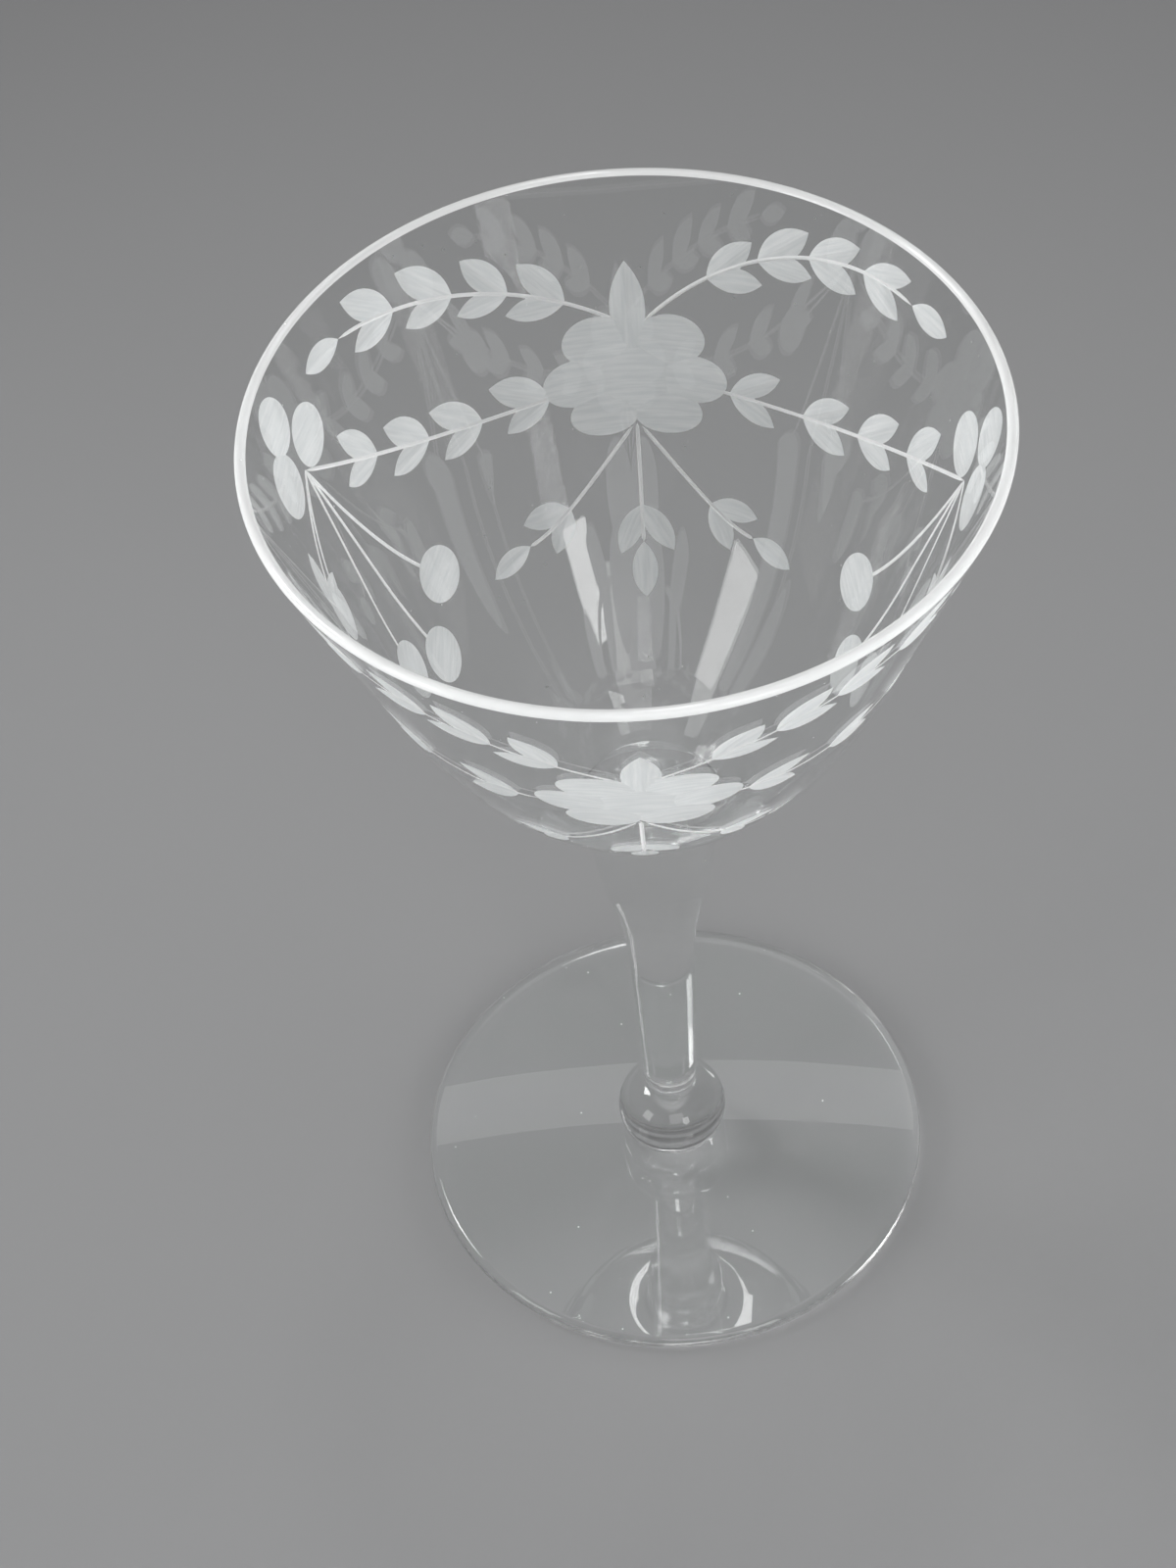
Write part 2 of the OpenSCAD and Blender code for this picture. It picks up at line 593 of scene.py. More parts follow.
@dataclass
class Spray:
    """A curved stalk with pairs of leaves, in degrees from its flower and millimetres above the table.

    Attributes:
        start: turn and height where the stalk leaves the flower.
        control: turn and height that the stalk leans towards.
        end: turn and height where it ends.
        nodes: shares of the stalk where pairs of leaves stand.
        lengths: lengths of the upper and the lower leaf.
        leans: turn of the upper and the lower leaf off the stalk, in degrees.
        tip: turn and height of the end leaf's point, if there is one.
    """

    # How far the hand strays in a leaf's length, turn and fullness
    UNEVEN: ClassVar[Triple] = (0.035, 2.2, 0.012)

    start: Pair
    control: Pair
    end: Pair
    nodes: tuple[float, ...]
    lengths: Pair = (7.2, 6.5)
    leans: Pair = (29.0, -21.0)
    tip: Pair | None = None

    def cuts(self, wall: Wall, flower: float, side: Side) -> list[Cut]:
        """The strokes of the spray.

        Args:
            wall: the wall they are cut into.
            flower: the flower's turn in degrees.
            side: which way the spray runs.

        Returns:
            The stalk and the leaves.
        """
        marks = (self.start, self.control, self.end)
        start, control, end = (wall.at(flower + side * turn, high) for turn, high in marks)
        strokes: list[Cut] = [Stalk(bend(start, control, end, spread(0, 1, STALK_STEPS)))]
        hand = np.random.default_rng(round(abs(flower) + 7 * side + 10 * self.end[1]))
        for node in self.nodes:
            base = complex(bend(start, control, end, np.array(node)))
            ahead = (1 - node) * (control - start) + node * (end - control)
            ahead /= abs(ahead)
            for length, lean in zip(self.lengths, self.leans):
                longer, turned, fuller = hand.normal(0, self.UNEVEN)
                turn = np.exp(1j * side * math.radians(lean + turned))
                reach = length * (1 + longer) / float(wall.scale(base)) * ahead * turn
                strokes.append(Leaf(base, base + complex(reach), Leaf.fullness + fuller))
        if self.tip is not None:
            strokes.append(Leaf(end, wall.at(flower + side * self.tip[0], self.tip[1])))
        return strokes


@dataclass
class Sector:
    """The sprays that run one way from a large flower to the side flower on that side.

    Attributes:
        flower: the large flower's turn in degrees.
        span: degrees to the side flower.
        side: which way it runs.
        arch: turn and height that the upper spray leans towards.
        crest: turn and height where the upper spray's stalk ends.
        nodes: shares of the upper stalk where its leaves stand.
        lengths: lengths of the upper spray's leaves.
        leans: turns of the upper spray's leaves off their stalk.
    """

    flower: float
    span: float
    side: Side
    arch: Pair
    crest: Pair
    nodes: tuple[float, ...] = (0.2, 0.39, 0.575, 0.78)
    lengths: Pair = (7.2, 6.5)
    leans: Pair = (27.0, -21.0)

    def cuts(self, wall: Wall) -> list[Cut]:
        """The upper, the side and the lower spray."""
        upper = Spray(
            start=(2.0, 110.6),
            control=self.arch,
            end=self.crest,
            nodes=self.nodes,
            lengths=self.lengths,
            leans=self.leans,
            tip=(self.crest[0] + 9.9, self.crest[1] + 0.3),
        )
        side = Spray(
            start=(0.19 * self.span, 103.9),
            control=(0.6 * self.span, 101.9),
            end=(self.span, 115.7),
            nodes=(0.05, 0.29, 0.49, 0.695),
            lengths=(6.7, 6.4),
        )
        lower = Spray(
            start=(1.0, 99.3),
            control=(18.9, 89.75),
            end=(32.5, 89.4),
            nodes=(0.53,),
            lengths=(6.0, 5.6),
            leans=(37.0, -21.0),
            tip=(46.5, 88.4),
        )
        sprays = (upper, side, lower)
        return [stroke for spray in sprays for stroke in spray.cuts(wall, self.flower, self.side)]


@dataclass
class Blossom:
    """A large flower of six petals round a middle, with a leaf above and a short spray straight below.

    Attributes:
        turn: the flower's turn in degrees.
        height: the middle's height.
        floor: depth of a petal.
        leaf: turn from the flower and height of the leaf's base, then of its tip.
        slim: the leaf's fullness.
        petals: offsets right and up the slope, then half length and half width.
    """

    turn: float
    height: float = 104.5
    floor: float = 0.38
    leaf: tuple[Pair, Pair] = ((-0.7, 107.0), (-1.0, 117.2))
    slim: float = 0.18
    petals: tuple[tuple[float, float, float, float], ...] = (
        (3.8, 4.4, 3.9, 2.9),
        (6.5, 0.1, 3.8, 2.7),
        (3.75, -4.0, 3.8, 2.5),
        (0.0, 0.1, 4.2, 3.9),
    )

    def cuts(self, wall: Wall) -> list[Cut]:
        """The petals on both sides, the leaf and the spray."""
        middle = wall.at(self.turn, self.height)
        unit = 1 / float(wall.scale(middle))
        strokes: list[Cut] = []
        for right, up, long, wide in self.petals:
            for side in (Side.RIGHT, Side.LEFT) if right else (Side.RIGHT,):
                centre = middle + unit * complex(side * right, up)
                strokes.append(Scoop(centre, (long, wide), floor=self.floor))
        base, tip = (wall.at(self.turn + turn, high) for turn, high in self.leaf)
        strokes.append(Leaf(base, tip, self.slim))
        below = Spray(
            start=(0.0, 99.6),
            control=(0.2, 93.0),
            end=(0.4, 87.2),
            nodes=(0.67,),
            lengths=(6.7, 6.7),
            leans=(31.0, -31.0),
            tip=(0.7, 81.9),
        )
        return strokes + below.cuts(wall, self.turn, Side.RIGHT)


@dataclass
class Fan:
    """A side flower of three petals, from which four stalks droop, each to a berry.

    Attributes:
        turn: the origin's turn in degrees.
        side: which way the +Y flower lies from it.
        height: the origin's height.
        berry: half length and half width of a berry.
        hollow: depth of a berry.
        travel: turn of the grinding marks in a berry, in degrees.
        petals: offsets towards the +Y flower and up the slope, half length, half width and tilt.
        droops: for each stalk, the turn and height it leans towards, then the berry's turn and height.
    """

    turn: float
    side: Side
    height: float = 115.8
    berry: Pair = (3.25, 3.15)
    hollow: float = 0.55
    travel: float = 20.0
    petals: tuple[tuple[float, float, float, float, float], ...] = (
        (3.6, 1.5, 3.4, 2.95, 30.0),
        (-0.4, 6.2, 3.15, 3.05, 0.0),
        (-4.3, 1.8, 3.45, 3.3, 30.0),
    )
    droops: tuple[tuple[Pair, Pair], ...] = (
        ((5.5, 101.9), (18.8, 93.2)),
        ((1.5, 103.0), (2.4, 88.1)),
        ((-4.0, 103.1), (-11.8, 92.2)),
        ((-9.0, 111.5), (-21.8, 107.2)),
    )

    def cuts(self, wall: Wall) -> list[Cut]:
        """The petals, the stalks and the berries."""
        origin = wall.at(self.turn, self.height)
        unit = 1 / float(wall.scale(origin))
        strokes: list[Cut] = []
        for back, up, long, wide, tilt in self.petals:
            centre = origin + unit * complex(self.side * back, up)
            strokes.append(Scoop(centre, (long, wide), tilt=self.side * tilt))
        for lean, (turn, high) in self.droops:
            end = wall.at(self.turn + self.side * turn, high)
            control = wall.at(self.turn + self.side * lean[0], lean[1])
            strokes.append(Stalk(bend(origin, control, end, spread(0, 1, STALK_STEPS))))
            strokes.append(Scoop(end, self.berry, floor=self.hollow, travel=self.side * self.travel))
        return strokes


@dataclass
class Ornament:
    """The whole cut pattern: two large flowers, two side flowers and the sprays between them.

    Attributes:
        flowers: turns of the large flowers in degrees.
        fans: turns of the right and the left side flower.
        grid: spacing of the plain wall's points, in radians and in rise.
        margin: clear distance of those points from any stroke, in millimetres.
    """

    # Height of a row of even triangles over their side, then how far apart points of the flat plan are two
    ROW: ClassVar[float] = 0.866
    TOUCH: ClassVar[float] = 1e-6
    # How far inside a face a stroke's slope is taken, and the step over which it is taken
    INSIDE: ClassVar[float] = 0.15
    STEP: ClassVar[float] = 1e-4

    flowers: Pair = (0.0, 179.2)
    fans: Pair = (88.6, 279.8)
    grid: float = 2 * np.pi / 180
    margin: float = 0.3

    def cuts(self, wall: Wall) -> list[Cut]:
        """Every stroke of the pattern."""
        back, front = self.flowers
        right, left = self.fans
        sectors = (
            Sector(
                flower=back,
                span=right - back,
                side=Side.RIGHT,
                arch=(25.0, 122.8),
                crest=(54.8, 121.4),
                nodes=(0.25, 0.43, 0.605, 0.8),
                lengths=(6.8, 6.6),
                leans=(14.0, -25.0),
            ),
            Sector(back, 360.0 - left + back, Side.LEFT, (28.0, 118.5), (57.0, 121.0)),
            Sector(front, front - right, Side.LEFT, (28.0, 120.6), (56.0, 121.6)),
            Sector(front, left - front, Side.RIGHT, (28.0, 119.6), (57.5, 121.4)),
        )
        parts = [Blossom(back), Blossom(front), Fan(right, Side.LEFT), Fan(left, Side.RIGHT), *sectors]
        return [stroke for part in parts for stroke in part.cuts(wall)]

    def plain(self, wall: Wall, strokes: list[Cut]) -> Array:
        """Staggered rows of places over the wall, clear of every stroke.

        Args:
            wall: the wall.
            strokes: every stroke.

        Returns:
            The places that are left.
        """
        rows = np.arange(1, int(wall.rise[-1] / (self.grid * self.ROW)))
        columns = np.arange(round(2 * np.pi / self.grid))
        turn = (columns + 0.5 * (rows[:, None] % 2)) * self.grid
        rise = np.broadcast_to(rows[:, None] * wall.rise[-1] / (len(rows) + 1), turn.shape)
        place = (turn + 1j * rise).ravel()
        clear = np.full(place.shape, np.inf)
        for stroke in strokes:
            clear = np.minimum(clear, -stroke.clearance(wall, place))
        return place[clear > self.margin]

    @staticmethod
    def chains(wall: Wall, strokes: list[Cut]) -> list[Array]:
        """The hoops that bound the wall, every stroke's lines and the ridges between scoops.

        Args:
            wall: the wall.
            strokes: every stroke.

        Returns:
            Chains of places, the lower and the upper hoop first.
        """
        hoops = (TURNS + 0j, TURNS + 1j * wall.rise[-1])
        found = [np.append(hoop, hoop[0]) for hoop in hoops]
        found += [chain for stroke in strokes for chain in stroke.lines(wall)]
        scoops = [stroke for stroke in strokes if isinstance(stroke, Scoop)]
        for first, second in combinations(scoops, 2):
            reach = abs(wrapped(np.array(first.centre - second.centre))) * wall.scale(first.centre)
            if reach < max(first.half) + max(second.half):
                found.append(first.ridge(wall, second))
        return [chain for chain in found if len(chain) > 1]

    @staticmethod
    def depths(wall: Wall, strokes: list[Cut], hair: Array, place: Array) -> Array:
        """How deep each stroke is at each place. Scoops are cut last, so no stalk is left inside one.

        Args:
            wall: the wall.
            strokes: every stroke.
            hair: which of them are stalks.
            place: where to look.

        Returns:
            (strokes, places) depths in millimetres.
        """
        found = np.array([stroke.depth(wall, place) for stroke in strokes])
        scooped = found[[isinstance(stroke, Scoop) for stroke in strokes]].max(axis=0) > 0
        found[np.outer(hair, scooped)] = 0
        return found

    def triangulate(self, wall: Wall, strokes: list[Cut]) -> tuple[Array, Array, Array]:
        """Joins places over the flat plan of the wall into triangles along every edge and rib.

        Args:
            wall: the wall.
            strokes: every stroke.

        Returns:
            The places, the three numbers of each face, and each place's number before, -1 for a new one.
        """
        chains = self.chains(wall, strokes)
        spots = [stroke.fill(wall) for stroke in strokes] + [self.plain(wall, strokes)]
        plan = flatten(np.concatenate(chains + spots))
        ends = np.cumsum([len(chain) for chain in chains])
        edges = np.stack([np.arange(ends[-1] - 1), np.arange(1, ends[-1])], axis=1)
        edges = np.delete(edges, ends[:-1] - 1, axis=0)
        flat = np.stack([plan.real, plan.imag], axis=1)
        found = delaunay_2d_cdt(flat.tolist(), edges.tolist(), [], 0, self.TOUCH, True)
        laid, _, faces, sources, *_ = found
        origin = np.array([known[0] if known else -1 for known in sources])
        spot = np.array([complex(*point) for point in laid])
        return unflatten(np.where(origin >= 0, plan[origin], spot)), np.array(faces), origin

    def carve(self, wall: Wall, skin: Skin) -> int:
        """Triangulates the wall, sinks it by the strokes and adds its faces.

        The disc inside the lower hoop is left out. The depth is that of the deepest leaf or scoop, with a
        stalk's groove cut into it. A face takes the stalk at its middle, or else the deepest stroke there.
        Its corner normal is the wall's normal plus the slope of that stroke.

        Args:
            wall: the wall.
            skin: the bowl's faces.

        Returns:
            The number of strokes.
        """
        strokes = self.cuts(wall)
        where, faces, origin = self.triangulate(wall, strokes)
        inner = np.isin(origin, np.arange(SEGMENTS + 1))
        outer = np.isin(origin, np.arange(SEGMENTS + 1, 2 * SEGMENTS + 2))
        faces = faces[~inner[faces].all(axis=1)]
        hair = np.array([isinstance(stroke, Stalk) for stroke in strokes])
        each = self.depths(wall, strokes, hair, where)
        deep = each[~hair].max(axis=0) + each[hair].max(axis=0)
        deep = np.where(inner | outer, 0, deep)
        points, facing = wall.lay(where, deep)
        rims = ring(wall.radius[[0, -1]][:, None], wall.height[[0, -1]][:, None], TURNS)
        points[inner] = rims[0, origin[inner] % SEGMENTS]
        points[outer] = rims[1, (origin[outer] - SEGMENTS - 1) % SEGMENTS]
        middle = unflatten(flatten(where)[faces].mean(axis=1))
        each = self.depths(wall, strokes, hair, middle)
        rank = each + hair[:, None] * (each > SHALLOW)
        owner = np.where(rank.max(axis=0) > SHALLOW, rank.argmax(axis=0), -1)
        plain = faces[owner < 0]
        skin.add(points[plain], facing[plain], np.int32(Dress.CLEAR))
        for index, stroke in enumerate(strokes):
            mine = faces[owner == index]
            if len(mine):
                corners = (where[mine], middle[owner == index], points[mine], facing[mine])
                self.sink(wall, stroke, index, *corners, skin)
        return len(strokes)

    def sink(
        self,
        wall: Wall,
        stroke: Cut,
        index: int,
        place: Array,
        middle: Array,
        points: Array,
        facing: Array,
        skin: Skin,
    ) -> None:
        """Adds the faces of one stroke, with the normals of its floor and the wheel's coordinates.

        Args:
            wall: the wall.
            stroke: the stroke.
            index: its number in the pattern.
            place: (faces, 3) places of the corners.
            middle: (faces,) places of the middles.
            points: the corners.
            facing: the wall's normals there.
            skin: the bowl's faces.
        """
        near = place + self.INSIDE * wrapped(middle[:, None] - place)
        step = self.STEP
        size = wall.scale(near) * 2 * step
        round_slope = (stroke.depth(wall, near + step) - stroke.depth(wall, near - step)) / size
        up_slope = (stroke.depth(wall, near + 1j * step) - stroke.depth(wall, near - 1j * step)) / size
        turn = place.real
        level = np.stack([np.cos(turn), -np.sin(turn), np.zeros_like(turn)], axis=-1)
        upward = np.cross(level, facing)
        normal = facing + round_slope[..., None] * level + up_slope[..., None] * upward
        along, across = stroke.grain(wall, place)
        wheel = np.stack([along, across, np.full_like(along, index)], axis=-1)
        skin.add(points, normal, np.int32(stroke.dress), wheel)


class Term:
    """A shader socket whose operators add Math nodes."""

    def __init__(self, graph: "Graph", socket: bpy.types.NodeSocket) -> None:
        """Keeps the graph and the socket."""
        self.graph = graph
        self.socket = socket

    def math(self, operation: str, first: "Value", second: "Value" = 0.0) -> "Term":
        """A Math node's result."""
        return self.graph.node("ShaderNodeMath", {"operation": operation}, {0: first, 1: second})

    def __add__(self, other: "Value") -> "Term":
        """Sum."""
        return self.math("ADD", self, other)

    def __radd__(self, other: "Value") -> "Term":
        """Sum, from the right."""
        return self.math("ADD", other, self)

    def __sub__(self, other: "Value") -> "Term":
        """Difference."""
        return self.math("SUBTRACT", self, other)

    def __rsub__(self, other: "Value") -> "Term":
        """Difference, from the right."""
        return self.math("SUBTRACT", other, self)

    def __mul__(self, other: "Value") -> "Term":
        """Product."""
        return self.math("MULTIPLY", self, other)

    def __rmul__(self, other: "Value") -> "Term":
        """Product, from the right."""
        return self.math("MULTIPLY", other, self)

    def __lt__(self, other: "Value") -> "Term":
        """1 where less."""
        return self.math("LESS_THAN", self, other)

    def smooth(self, low: float, high: float) -> "Term":
        """0 below low, 1 above high, and a smooth step between."""
        settings = {"interpolation_type": "SMOOTHSTEP"}
        values = {"Value": self, "From Min": low, "From Max": high}
        return self.graph.node("ShaderNodeMapRange", settings, values)


Value = Term | float | tuple[float, ...]


class Graph:
    """A node tree that is filled by calls to one method."""

    def __init__(self, tree: bpy.types.NodeTree) -> None:
        """Empties the tree."""
        self.tree = tree
        self.tree.nodes.clear()

    @classmethod
    def material(cls, name: str) -> tuple[bpy.types.Material, "Graph"]:
        """A new material and its empty graph."""
        made = bpy.data.materials.new(name)
        made.use_nodes = True
        return made, cls(made.node_tree)

    def node(
        self,
        kind: str,
        settings: dict[str, object] | None = None,
        values: dict[str | int, Value] | None = None,
        output: str | int = 0,
    ) -> Term:
        """Adds a node, sets it and links it.

        Args:
            kind: the node's type name.
            settings: properties, set first.
            values: socket names or numbers with their values or links.
            output: the output that the result stands for.

        Returns:
            The wrapped output socket.
        """
        made = self.tree.nodes.new(kind)
        for name, setting in (settings or {}).items():
            setattr(made, name, setting)
        for name, value in (values or {}).items():
            if isinstance(value, Term):
                self.tree.links.new(value.socket, made.inputs[name])
            else:
                made.inputs[name].default_value = value
        return Term(self, made.outputs[output] if len(made.outputs) else None)

    def seen(self) -> Term:
        """1 for rays that show a background: from the camera, off polished surfaces and through glass."""
        kinds = ("Camera", "Glossy", "Transmission")
        camera, gloss, glass = (self.node("ShaderNodeLightPath", output=f"Is {kind} Ray") for kind in kinds)
        return camera.math("MINIMUM", camera + gloss + glass, 1.0)


@dataclass(frozen=True)
class ClearGlass:
    """Polished glass: nearly colourless, a little uneven, with wiping marks and a few dust specks.

    Attributes:
        tint: colour of the glass.
        shade: share of straight lamp light that a face lets through, beside what it bends.
        index: index of refraction.
        smear: greatest roughness of the wiping marks.
        speck: roughness of a dust speck.
        wave: height of the unevenness in millimetres.
        haze: share of the light that the surface scatters.
        name: the material's name.
    """

    tint: Colour = (0.988, 0.996, 0.993, 1.0)
    shade: Colour = (0.74, 0.743, 0.743, 1.0)
    index: float = 1.52
    smear: float = 0.05
    speck: float = 0.8
    wave: float = 0.012
    haze: float = 0.0
    name: str = "clear_glass"

    def material(self) -> bpy.types.Material:
        """Builds the material."""
        made, graph = Graph.material(self.name)
        place = graph.node("ShaderNodeTexCoord", output="Object")
        wipe = graph.node("ShaderNodeTexNoise", None, {"Vector": place, "Scale": 90.0, "Detail": 4.0})
        sway = graph.node("ShaderNodeTexNoise", None, {"Vector": place, "Scale": 70.0, "Detail": 1.0})
        dust = graph.node("ShaderNodeTexVoronoi", None, {"Vector": place, "Scale": 300.0}) < 0.03
        uneven = {"Strength": 0.5, "Distance": self.wave * MM, "Height": sway}
        normal = graph.node("ShaderNodeBump", None, uneven)
        surface = graph.node(
            "ShaderNodeBsdfPrincipled",
            None,
            {
                "Base Color": self.tint,
                "Roughness": wipe.smooth(0.56, 0.8) * self.smear + dust * self.speck,
                "IOR": self.index,
                "Transmission Weight": 1.0 - self.haze,
                "Normal": normal,
            },
        )
        through = graph.node("ShaderNodeBsdfTransparent", None, {"Color": self.shade})
        lamplight = graph.node("ShaderNodeLightPath", output="Is Shadow Ray")
        passed = graph.node("ShaderNodeMixShader", None, {0: lamplight, 1: surface, 2: through})
        graph.node("ShaderNodeOutputMaterial", None, {"Surface": passed})
        return made


@dataclass(frozen=True)
class GroundGlass:
    """Glass left grey from the cutting wheel: fine streaks along the wheel's travel, scattering light.

    Attributes:
        colour: colour of the scattered light.
        dull: the same in the duller streaks.
        clear: share of the light that passes almost straight.
        glow: share that is spread every way by light from behind.
        rough: middle roughness.
        vary: how far the roughness varies.
        index: index of refraction.
        bite: height of the streaks in millimetres.
        grain: steps of the noise to a millimetre along and across the travel, and from stroke to stroke.
        name: the material's name.
    """

    colour: Colour = (0.95, 0.965, 0.965, 1.0)
    dull: Colour = (0.84, 0.865, 0.87, 1.0)
    clear: float = 0.35
    glow: float = 0.5
    rough: float = 0.5
    vary: float = 0.3
    index: float = 1.5
    bite: float = 0.05
    grain: Triple = (0.22, 2.6, 7.3)
    name: str = "ground_glass"

    def material(self) -> bpy.types.Material:
        """Builds the material."""
        made, graph = Graph.material(self.name)
        wheel = graph.node("ShaderNodeAttribute", {"attribute_name": "wheel"}, output="Vector")
        drawn = graph.node("ShaderNodeVectorMath", {"operation": "MULTIPLY"}, {0: wheel, 1: self.grain})
        streak = graph.node("ShaderNodeTexNoise", None, {"Vector": drawn, "Scale": 1.0, "Detail": 4.0})
        tones = {0: streak.smooth(0.3, 0.7), 6: self.dull, 7: self.colour}
        shade = graph.node("ShaderNodeMix", {"data_type": "RGBA"}, tones, 2)
        scored = {"Strength": 1.0, "Distance": self.bite * MM, "Height": streak}
        normal = graph.node("ShaderNodeBump", None, scored)
        surface = graph.node(
            "ShaderNodeBsdfPrincipled",
            None,
            {
                "Base Color": shade,
                "Roughness": streak * self.vary + (self.rough - self.vary / 2),
                "IOR": self.index,
                "Transmission Weight": self.clear,
                "Normal": normal,
            },
        )
        lit = graph.node("ShaderNodeBsdfTranslucent", None, {"Color": shade, "Normal": normal})
        passed = graph.node("ShaderNodeMixShader", None, {0: self.glow, 1: surface, 2: lit})
        graph.node("ShaderNodeOutputMaterial", None, {"Surface": passed})
        return made


@dataclass(frozen=True)
class FusedSeat:
    """The faces where two pieces are melted together: light passes as if there were no face."""

    def material(self) -> bpy.types.Material:
        """Builds the material."""
        made, graph = Graph.material("fused_seat")
        surface = graph.node("ShaderNodeBsdfTransparent")
        graph.node("ShaderNodeOutputMaterial", None, {"Surface": surface})
        return made


@dataclass(frozen=True)
class GreyPaper:
    """Matt grey paper that falls off into a darker, even background away from the glass.

    Attributes:
        colour: colour of the paper.
        fade: distances from the glass between which it falls off, in metres.
        level: brightness of the background over the paper's colour.
    """

    colour: Colour = (0.27, 0.271, 0.274, 1.0)
    fade: Pair = (0.08, 0.45)
    level: float = 0.5

    def material(self) -> bpy.types.Material:
        """Builds the material."""
        made, graph = Graph.material("grey_paper")
        place = graph.node("ShaderNodeTexCoord", output="Object")
        away = graph.node("ShaderNodeVectorMath", {"operation": "LENGTH"}, {0: place}, "Value")
        matt = {"Base Color": self.colour, "Roughness": 0.9, "Specular IOR Level": 0.1}
        surface = graph.node("ShaderNodeBsdfPrincipled", None, matt)
        even = graph.node("ShaderNodeEmission", None, {"Color": self.colour, "Strength": self.level})
        share = away.smooth(*self.fade) * graph.seen()
        faded = graph.node("ShaderNodeMixShader", None, {0: share, 1: surface, 2: even})
        graph.node("ShaderNodeOutputMaterial", None, {"Surface": faded})
        return made


@dataclass(frozen=True)
class Finishes:
    """The materials of the glass, in the order of Dress."""

    materials: tuple[bpy.types.Material, ...]

    @classmethod
    def make(cls) -> "Finishes":
        """Builds the glass materials once. The lip is hazy, and a hairline whiter than the other cuts."""
        lip = ClearGlass(haze=0.55, wave=0.002, name="lip_glass")
        hairline = GroundGlass(
            colour=(1.0, 1.0, 1.0, 1.0),
            dull=(0.95, 0.96, 0.96, 1.0),
            clear=0.12,
            glow=0.6,
            name="hairline_glass",
        )
        glasses = (ClearGlass(), GroundGlass(), FusedSeat(), lip, hairline)
        return cls(tuple(glass.material() for glass in glasses))

    def dress(self, piece: bpy.types.Object, node: str, slot: Slot) -> bpy.types.Object:
        """Gives a piece its materials, hangs it under the root and hides the CAD node that it replaces.

        Args:
            piece: the new object.
            node: the CAD node that it stands for.
            slot: the record's material slot; not used.

        Returns:
            The piece.
        """
        for material in self.materials:
            piece.data.materials.append(material)
        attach(piece, "root")
        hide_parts(node)
        return piece


@dataclass
class Seats:
    """Where the pieces meet: heights read from the frame, and diameters, in millimetres.

    Attributes:
        foot: top of the foot, under the knop.
        knop: top of the knop, under the stem.
        stem: top of the stem, under the bowl.
        glass: top of the rim.
        shoulder: diameter of the stem under the bowl.
        waist: diameter of the stem on the knop.
        base: diameter of the knop on the foot.
    """

    foot: float = field(default_factory=lambda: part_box("foot")[1][2] / MM)
    knop: float = field(default_factory=lambda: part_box("knop")[1][2] / MM)
    stem: float = field(default_factory=lambda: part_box("stem")[1][2] / MM)
    glass: float = field(default_factory=lambda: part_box("bowl")[1][2] / MM)
    shoulder: float = 14.4
    waist: float = 6.3
    base: float = 10.8


@dataclass
class Bowl:
    """The flaring bowl: a flared straight wall on a round belly, drawn in to the stem by a hollow fillet.

    Attributes:
        seats: where the pieces meet.
        rim: diameter over the lip.
        wall: thickness.
        flare: degrees that the upper wall leans outwards.
        straight: height of the straight part.
        floor: thickness in the middle of the bottom.
        fillet: radius of the hollow at the stem.
        lower: height from which the wall carries the ornament.
    """

    seats: Seats
    rim: float = 76.0
    wall: float = 1.2
    flare: float = 20.3
    straight: float = 26.5
    floor: float = 3.6
    fillet: float = 5.0
    lower: float = 78.5

    def build(self, finishes: Finishes) -> bpy.types.Object:
        """Turns the plain parts, carves the wall and welds them.

        The belly's arc is tangent to the straight wall and to the fillet. The inside repeats it one wall
        thickness in, and a round floor is tangent to it and level on the axis.

        Args:
            finishes: the glass materials.

        Returns:
            The piece.
        """
        top, low = self.seats.glass, self.seats.stem
        lean = math.radians(self.flare)
        out = np.array([math.cos(lean), -math.sin(lean)])
        lip = np.array([self.rim / 2 - self.wall / 2, top - self.wall / 2])
        lip_out = lip + self.wall / 2 * out
        below = lip_out[1] - (top - self.straight)
        foot = np.array([lip_out[0] - below * math.tan(lean), top - self.straight])
        shoulder = self.seats.shoulder / 2
        hollow = np.array([shoulder + self.fillet, low])
        reach = foot - hollow
        belly_round = (reach @ reach - self.fillet**2) / (2 * (self.fillet + reach @ out))
        belly = foot - belly_round * out
        neck = math.degrees(math.atan2(*(hollow - belly)[::-1]))
        inner = belly_round - self.wall
        drop = belly[1] - (low + self.floor)
        floor_round = (inner**2 - belly[0] ** 2 - drop**2) / (2 * (inner - drop))
        floor = np.array([0.0, low + self.floor + floor_round])
        floor_turn = math.degrees(math.atan2(*(floor - belly)[::-1]))
        start = math.degrees(math.asin((self.lower - belly[1]) / belly_round))
        inner_lip = lip - self.wall / 2 * out
        inner_foot = belly + inner * out
        skin = Skin()
        skin.turn(Run.line((0, low), (shoulder, low), (0, -1), 4, Dress.FUSED))
        skin.turn(Run.arc(hollow, self.fillet, 180, neck + 180, 12, hollow=True))
        skin.turn(Run.arc(belly, belly_round, neck, start, 10))
        cut_belly = Run.arc(belly, belly_round, start, -self.flare, 160)
        cut_flare = Run.line(foot, lip_out, tuple(out), 120)
        strokes = Ornament().carve(Wall([cut_belly, cut_flare]), skin)
        skin.turn(Run.arc(lip, self.wall / 2, -self.flare, 180 - self.flare, 20, dress=Dress.LIP))
        skin.turn(Run.line(inner_lip, inner_foot, tuple(-out), 20))
        skin.turn(Run.arc(belly, inner, -self.flare, floor_turn, 30, hollow=True))
        skin.turn(Run.arc(floor, floor_round, floor_turn, -90, 16, hollow=True))
        log.info("bowl: %d strokes of the wheel", strokes)
        return finishes.dress(skin.mesh("cut_bowl"), "bowl", Slot.CUT)


